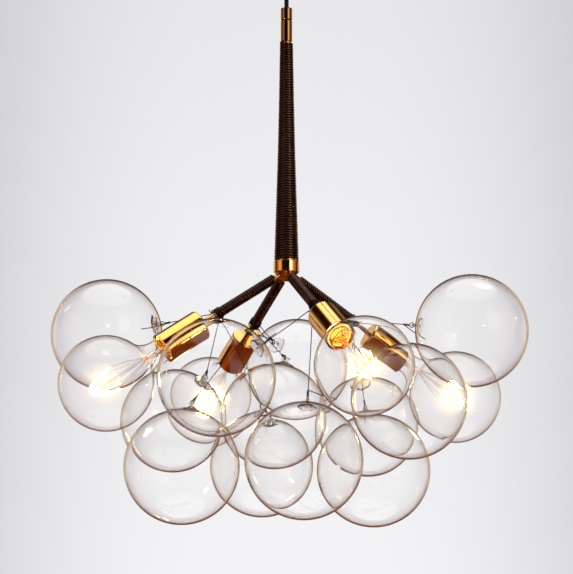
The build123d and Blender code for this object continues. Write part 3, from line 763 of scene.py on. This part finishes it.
# The pressed face is low rings round a flat middle
rings_place, ring_height, ring_beat = 194.6, 0.45, 2.1
disc_outline = [(0, 194.2 * mm)]
disc_outline += [(r * mm, (rings_place + ring_height * math.cos(ring_beat * r)) * mm) for r in range(1, 12)]
disc_outline += [(11.8 * mm, 193.6 * mm), (0, 193.2 * mm)]
for arm, axis in arm_axes.items():
    disc = lathe(f"basing_cement_{arm}", disc_outline, meeting, axis, 40)
    fit(disc, f"lamp_{arm}", "lamp_cap", cement)
print("cement points:", len(disc_outline))

# %% [markdown]
# The lamps also light the cups, the hub and the glass around them. A small warm point light stands in for
# each set of strands. Clear glass would stop its light here, because rays of light only cross glass by
# chance, so the glass is left out of what blocks these lights. A second light at the same place is seen only
# as a gleam in the cups and holders, which stand nearest.

# %% Warm light of the lamps
glass_list = bpy.data.collections.new("glass_lets_light_through")
for arm in arm_axes:
    glass_list.objects.link(bpy.data.objects[f"lamp_stem_{arm}"])
for node in [*bubble_names, *[f"lamp_glass_{arm}" for arm in arm_axes]]:
    glass_list.objects.link(nodes[node])
for member in glass_list.collection_objects:
    member.light_linking.link_state = "EXCLUDE"
cup_list = bpy.data.collections.new("cups_show_the_lamps")
for arm in arm_axes:
    cup_list.objects.link(nodes[f"socket_cup_{arm}"])
    cup_list.objects.link(nodes[f"lampholder_{arm}"])
lamp_watts, lamp_colour, lamp_glow_radius = 4.0, "#FFE2B0", 14 * mm
lamp_light_place = support_place + 10 * mm
for arm, axis in arm_axes.items():
    for kind, shows in (("glow", False), ("gleam", True)):
        data = bpy.data.lights.new(f"lamp_{kind}_{arm}", "POINT")
        data.energy = lamp_watts
        data.color = linear(lamp_colour)[:3]
        data.shadow_soft_size = lamp_glow_radius
        light = bpy.data.objects.new(f"lamp_{kind}_{arm}", data)
        light.location = meeting + axis * lamp_light_place
        light.visible_camera = light.visible_transmission = False
        light.visible_diffuse, light.visible_glossy = not shows, shows
        scene.collection.objects.link(light)
        light.light_linking.blocker_collection = glass_list
        if shows:
            light.light_linking.receiver_collection = cup_list
for light in studio_lights:
    light.light_linking.blocker_collection = glass_list
print("warm lights:", 2 * len(arm_axes))

# %% [markdown]
# Round a bright filament the eye and the camera see a soft bloom. It isn't a piece of the lamp, so it rides
# on nothing, and stays at the lamp's place at rest. It is a faint volume that gives light at
# its middle, fades to nothing before it reaches the globe, and takes a little blue away, as warm glare does.

# %% Bloom round the strands
bloom_radius = 48 * mm
bloom_strengths = {"left": 2.6, "back": 6.5, "front": 5.0, "right": 5.5}
bloom_place = support_place + 15 * mm


def bloom(name, middle, radius, brightness):
    """Make a soft glow that fades from its middle."""
    steps, fade_curve, haze_strength = 16, 4.0, 2.2
    outline = [(radius * math.sin(math.pi * n / steps), -radius * math.cos(math.pi * n / steps))
               for n in range(steps + 1)]
    outline[0], outline[-1] = (0, -radius), (0, radius)
    ball = lathe(name, outline, middle, upright, 32)
    material, tree, output = new_material(name)
    place = add_node(tree, "TexCoord").outputs["Object"]
    away = add_node(tree, "VectorMath", {"operation": "DISTANCE", 1: middle}, {0: place})
    share = add_node(
        tree, "MapRange", {"From Min": 0.0, "From Max": radius, "To Min": 1.0, "To Max": 0.0},
        {"Value": away.outputs["Value"]})
    fade = add_node(tree, "Math", {"operation": "POWER", 1: fade_curve}, {0: share})
    power = add_node(tree, "Math", {"operation": "MULTIPLY", 1: brightness / radius}, {0: fade})
    shine = add_node(tree, "Emission", {"Color": linear("#FFDC96")}, {"Strength": power})
    haze = add_node(tree, "Math", {"operation": "MULTIPLY", 1: haze_strength / radius}, {0: fade})
    warm = add_node(tree, "VolumeAbsorption", {"Color": linear("#FFF0B4")}, {"Density": haze})
    both = add_node(tree, "AddShader", links={0: shine, 1: warm})
    tree.links.new(both.outputs[0], output.inputs["Volume"])
    ball.data.materials.append(material)
    ball.visible_glossy = ball.visible_diffuse = False


for arm, axis in arm_axes.items():
    bloom(f"lamp_bloom_{arm}", meeting + axis * bloom_place, bloom_radius, bloom_strengths[arm])
print("blooms:", len(arm_axes))

# %% [markdown]
# The screw cap is stamped from thin aluminium with a rounded thread rolled into it. The thread is a wave in
# the radius that climbs one pitch for each turn, and it fades out at the heel and at the rim.

# %% Screw caps
cap_metal = metal("stamped_aluminium_cap", "#D8C08A", 0.28, 0.6 * mm)
cap_radius, cap_length, cap_heel, cap_wall = 13.1 * mm, 23 * mm, 3 * mm, 0.4 * mm
thread_pitch, thread_depth, thread_fade = 3.62 * mm, 0.55 * mm, 2 * mm


def screw_cap(name, start, axis):
    """Make the shell of a screw cap from its heel at the start station."""
    side, up = basis(axis)
    sides, steps = 64, 76
    points = []
    for step in range(steps + 1):
        height = cap_length * step / steps
        past_heel, before_rim = height - cap_heel, cap_length - thread_fade - height
        fade = max(0.0, min(1.0, past_heel / thread_fade, before_rim / thread_fade))
        heel = max(0.0, cap_heel - height)
        for number in range(sides):
            turned = math.tau * number / sides
            wave = 0.5 - 0.5 * math.cos(math.tau * height / thread_pitch - turned)
            radius = cap_radius - heel - thread_depth * wave * fade
            points.append(meeting + axis * (start + height) + around(side, up, turned) * radius)
    shell = new_piece(name, points, bands(0, steps + 1, sides))
    wall = shell.modifiers.new("wall", "SOLIDIFY")
    wall.thickness = cap_wall
    wall.offset = -1
    return shell


for arm, axis in arm_axes.items():
    cap = screw_cap(f"screw_cap_{arm}", span(f"lamp_cap_{arm}", meeting, axis)[0], axis)
    fit(cap, f"lamp_{arm}", "lamp_cap", cap_metal, f"lamp_cap_{arm}")
print("caps:", len(arm_axes), "thread pitch:", thread_pitch)

# %% [markdown]
# The lampholders are pressed from cream steatite, a dense glazed ceramic, the usual body for a hot lamp. The
# small parts at the ceiling are everyday ones: nylon, polyamide, zinc-plated steel and black vitrite, the
# glass that insulates a lamp's contact.

# %% Ceramic and moulded pieces


def moulded(name, colour, other, roughness, grain_size, ior=1.5, coat=0.0):
    """Make a pressed or moulded body with a faint mottle and a fine surface grain."""
    material, tree, output = new_material(name)
    place = add_node(tree, "TexCoord").outputs["Object"]
    patch_width = 8 * mm
    mottle = add_node(tree, "TexNoise", {"Scale": 1 / patch_width, "Detail": 4.0}, {"Vector": place})
    tone = add_node(tree, "ValToRGB", {"stops": [(0.35, colour), (0.65, other)]}, {"Fac": mottle})
    grain = add_node(tree, "TexNoise", {"Scale": 1 / grain_size, "Detail": 2.0}, {"Vector": place})
    bump = add_node(tree, "Bump", {"Strength": 0.12, "Distance": 0.05 * mm}, {"Height": grain})
    body = add_node(
        tree, "BsdfPrincipled",
        {"Roughness": roughness, "IOR": ior, "Coat Weight": coat, "Coat Roughness": 0.1},
        {"Base Color": tone, "Normal": bump})
    tree.links.new(body.outputs[0], output.inputs["Surface"])
    return material


cream_steatite = moulded("glazed_cream_steatite", "#EFCB78", "#E4BC64", 0.3, 0.7 * mm, ior=1.6, coat=0.4)
dress(cream_steatite, *[f"lampholder_{arm}" for arm in arm_axes])
vitrite = moulded("black_vitrite", "#131214", "#1B1A1C", 0.15, 1.5 * mm)
dress(vitrite, *[f"lamp_contact_{arm}" for arm in arm_axes])
dress(moulded("black_nylon", "#161616", "#1D1D1D", 0.5, 0.3 * mm), "cord_grip")
dress(moulded("white_polyamide", "#E8E7E2", "#DFDED8", 0.4, 0.4 * mm), "terminal_block")
dress(metal("zinc_plated_steel", "#BFC1C4", 0.32, 1.2 * mm), "ceiling_bracket", "collar_screw")
print("small parts dressed")

# %% [markdown]
# Each bubble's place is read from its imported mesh. The hook stands out of the bubble's box on one side at
# most, so the narrowest width is twice the radius, and the side away from the hook gives the middle.

# %% Bubble middles and hooks
carried = {
    "left": ("left_upper", "left_inner", "back_lower"),
    "back": ("back_upper", "centre", "left_lower"),
    "front": ("left_front", "front_lower", "right_front"),
    "right": ("right_upper", "right_lower", "right_back"),
}
hook_height, tip_depth = 8.2 * mm, 0.25 * mm


def measured_bubble(name):
    """Return a bubble's middle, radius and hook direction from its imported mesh."""
    points = node_points(f"bubble_{name}")
    low, high = points.min(0), points.max(0)
    radius = (high - low).min() / 2
    away = np.linalg.norm(points - (low + high) / 2, axis=1)
    tip = points[away.argmax()] - (low + high) / 2
    middle = np.where(tip > 0, low + radius, high - radius)
    away = np.linalg.norm(points - middle, axis=1)
    tip = points[away > away.max() - tip_depth].mean(0) - middle
    return Vector(middle), float(radius), Vector(tip).normalized()


bubbles = {name: measured_bubble(name) for names in carried.values() for name in names}
moving = set(frame["bodies"])
for name, (middle, radius, hook) in bubbles.items():
    glass = clear_glass(
        f"blown_soda_lime_glass_{name}", "#A08068", 9.0, ior=1.25, **blown_ripple, rim="#A88E78",
        shell=(middle, radius))
    dress(glass, f"bubble_{name}")
print({name: round(radius / mm, 2) for name, (middle, radius, hook) in bubbles.items()})

# %% [markdown]
# The hooks are pulled from a gather of hot glass, which leaves a lumpy melted foot where the loop meets the
# bubble. A low turned mound of solid glass gives that foot, and noise pushes it out of round.

# %% Glass feet of the hooks
lump_size, pit_size, lump_out, lump_up = 7 * mm, 3 * mm, 0.35, 0.07
for name, (middle, radius, hook) in bubbles.items():
    foot_outline = [(r * mm, radius + z * mm) for r, z in (
        (0, -0.6), (6.0, -0.8), (11.5, -1.2), (12.4, -0.9), (11.2, 0.1), (9.2, 0.7), (7.2, 1.2), (5.4, 2.0),
        (4.2, 3.0), (3.0, 3.8), (1.6, 4.2), (0, 4.3))]
    foot = lathe(f"hook_foot_{name}", foot_outline, middle, hook, 36)
    for corner in foot.data.vertices:
        outward = corner.co - middle
        sideways = outward - hook * outward.dot(hook)
        lump = noise.noise(corner.co / lump_size) + 0.5 * noise.noise(corner.co / pit_size)
        corner.co += sideways * lump * lump_out + hook * lump * sideways.length * lump_up
    body = f"bubble_{name}" if f"bubble_{name}" in moving else "fixture"
    fit(foot, body, "bubble_glass", gathered_glass)
print("feet:", len(bubbles))

# %% [markdown]
# The wires are annealed iron, blackened by heat, about 1.2 mm thick. Each goes twice round its arm, runs
# straight to its bubble, passes through the glass hook, winds back round itself four times, and ends in a
# short cut tail. One path of points per wire follows that order, and a thin tube runs along it.

# %% Iron wires
iron = metal("annealed_iron_wire", "#2C2826", 0.5, 0.8 * mm, 0.2)
wire_radius = 0.6 * mm
tie_inset, tie_pitch, tie_rise, tie_turns = 2 * mm, 4 * mm, 1.3 * mm, 2
eye_radius, eye_lift, run_sag = 3.2 * mm, 0.8 * mm, 0.35 * mm
twist_start, twist_length, twist_radius, twist_turns = 1 * mm, 8 * mm, 1.15 * mm, 4
cut_back, cut_out, tail_bend, tail_way = 7 * mm, 2 * mm, 2.5 * mm, (9, -9, 5)
tail_ways = {
    "left_upper": (-38, -6, -10), "right_upper": (28, -8, -21), "front_lower": (34, -8, -14),
    "right_lower": (0, -8, -31), "left_front": (-16, 0, 5), "centre": (12, -4, -7),
    "left_inner": (-9, -5, -13),
}


def wire_path(station, axis, middle, hook, radius, tail, seed):
    """List the points of one wire, from its cut end at the arm to its tail at the bubble."""
    grip = middle + hook * (radius + hook_height)
    across = grip - station
    across -= axis * across.dot(axis)
    ring = arm_wrap_radius + wire_radius
    out = across.normalized()
    round_way = axis.cross(out)
    tie = station + out * ring
    points = [tie - round_way * cut_back + out * cut_out + axis * tie_rise]
    steps = tie_turns * 16
    for number in range(steps + 1):
        turned = math.tau * tie_turns * number / steps
        lift = axis * (tie_rise / 2 - tie_rise * number / steps)
        points.append(station + around(out, round_way, turned) * ring + lift)
    run = (tie - grip).normalized()
    rod = hook.cross(run)
    least_length = 0.09
    rod = rod.normalized() if rod.length > least_length else hook.cross(upright).normalized()
    turn_way = run.cross(rod).normalized()
    eye = grip + run * eye_lift
    start = eye + run * (eye_radius + twist_start + twist_length)
    points.append(points[-1].lerp(start, 0.3))
    for share in (0.3, 0.5, 0.7, 0.85):
        points.append(tie.lerp(start, share) + turn_way * math.sin(math.pi * share) * run_sag)
    points.append(start)
    steps = 12
    for number in range(steps + 1):
        lift = rod * (wire_radius - 2 * wire_radius * number / steps)
        points.append(eye + around(run, turn_way, math.tau * number / steps) * eye_radius + lift)
    steps = twist_turns * 10
    for number in range(steps + 1):
        height = eye_radius + twist_start + twist_length * number / steps
        turned = math.tau * twist_turns * number / steps
        points.append(eye + run * height + around(rod, turn_way, turned) * twist_radius)
    last = points[-1]
    bend = (random.Random(seed).random() - 0.3) * tail_bend
    for share in (0.2, 0.4, 0.6, 0.8, 1.0):
        points.append(last + tail * share + (run + turn_way) * bend * math.sin(math.pi * share))
    return points


for seed, (arm, names) in enumerate(carried.items()):
    lines = []
    for place, name in enumerate(names):
        middle, radius, hook = bubbles[name]
        station = meeting + arm_axes[arm] * (wrap_ends[arm] - tie_inset - place * tie_pitch)
        tail = Vector(tail_ways.get(name, tail_way)) * mm
        lines.append(wire_path(station, arm_axes[arm], middle, hook, radius, tail, seed * 3 + place))
    fit(tube(f"iron_wires_{arm}", lines, wire_radius), "fixture", "iron_wire", iron, f"tie_wires_{arm}")
print("wires:", sum(len(names) for names in carried.values()))

# %% [markdown]
# Clear shells inside one another need many bounces before a ray gets out, and the small bright strands can
# throw stray sparks, so the depth goes up and the indirect light is clamped.

# %% Light paths
cycles = scene.cycles
cycles.max_bounces = 48
cycles.transmission_bounces = 48
cycles.glossy_bounces = 8
cycles.diffuse_bounces = 3
cycles.transparent_max_bounces = 32
cycles.sample_clamp_indirect = 30.0
print("bounces:", cycles.max_bounces)

# %% [markdown]
# The last cell brings the scene up to date.

# %% Update the scene
bpy.context.view_layer.update()
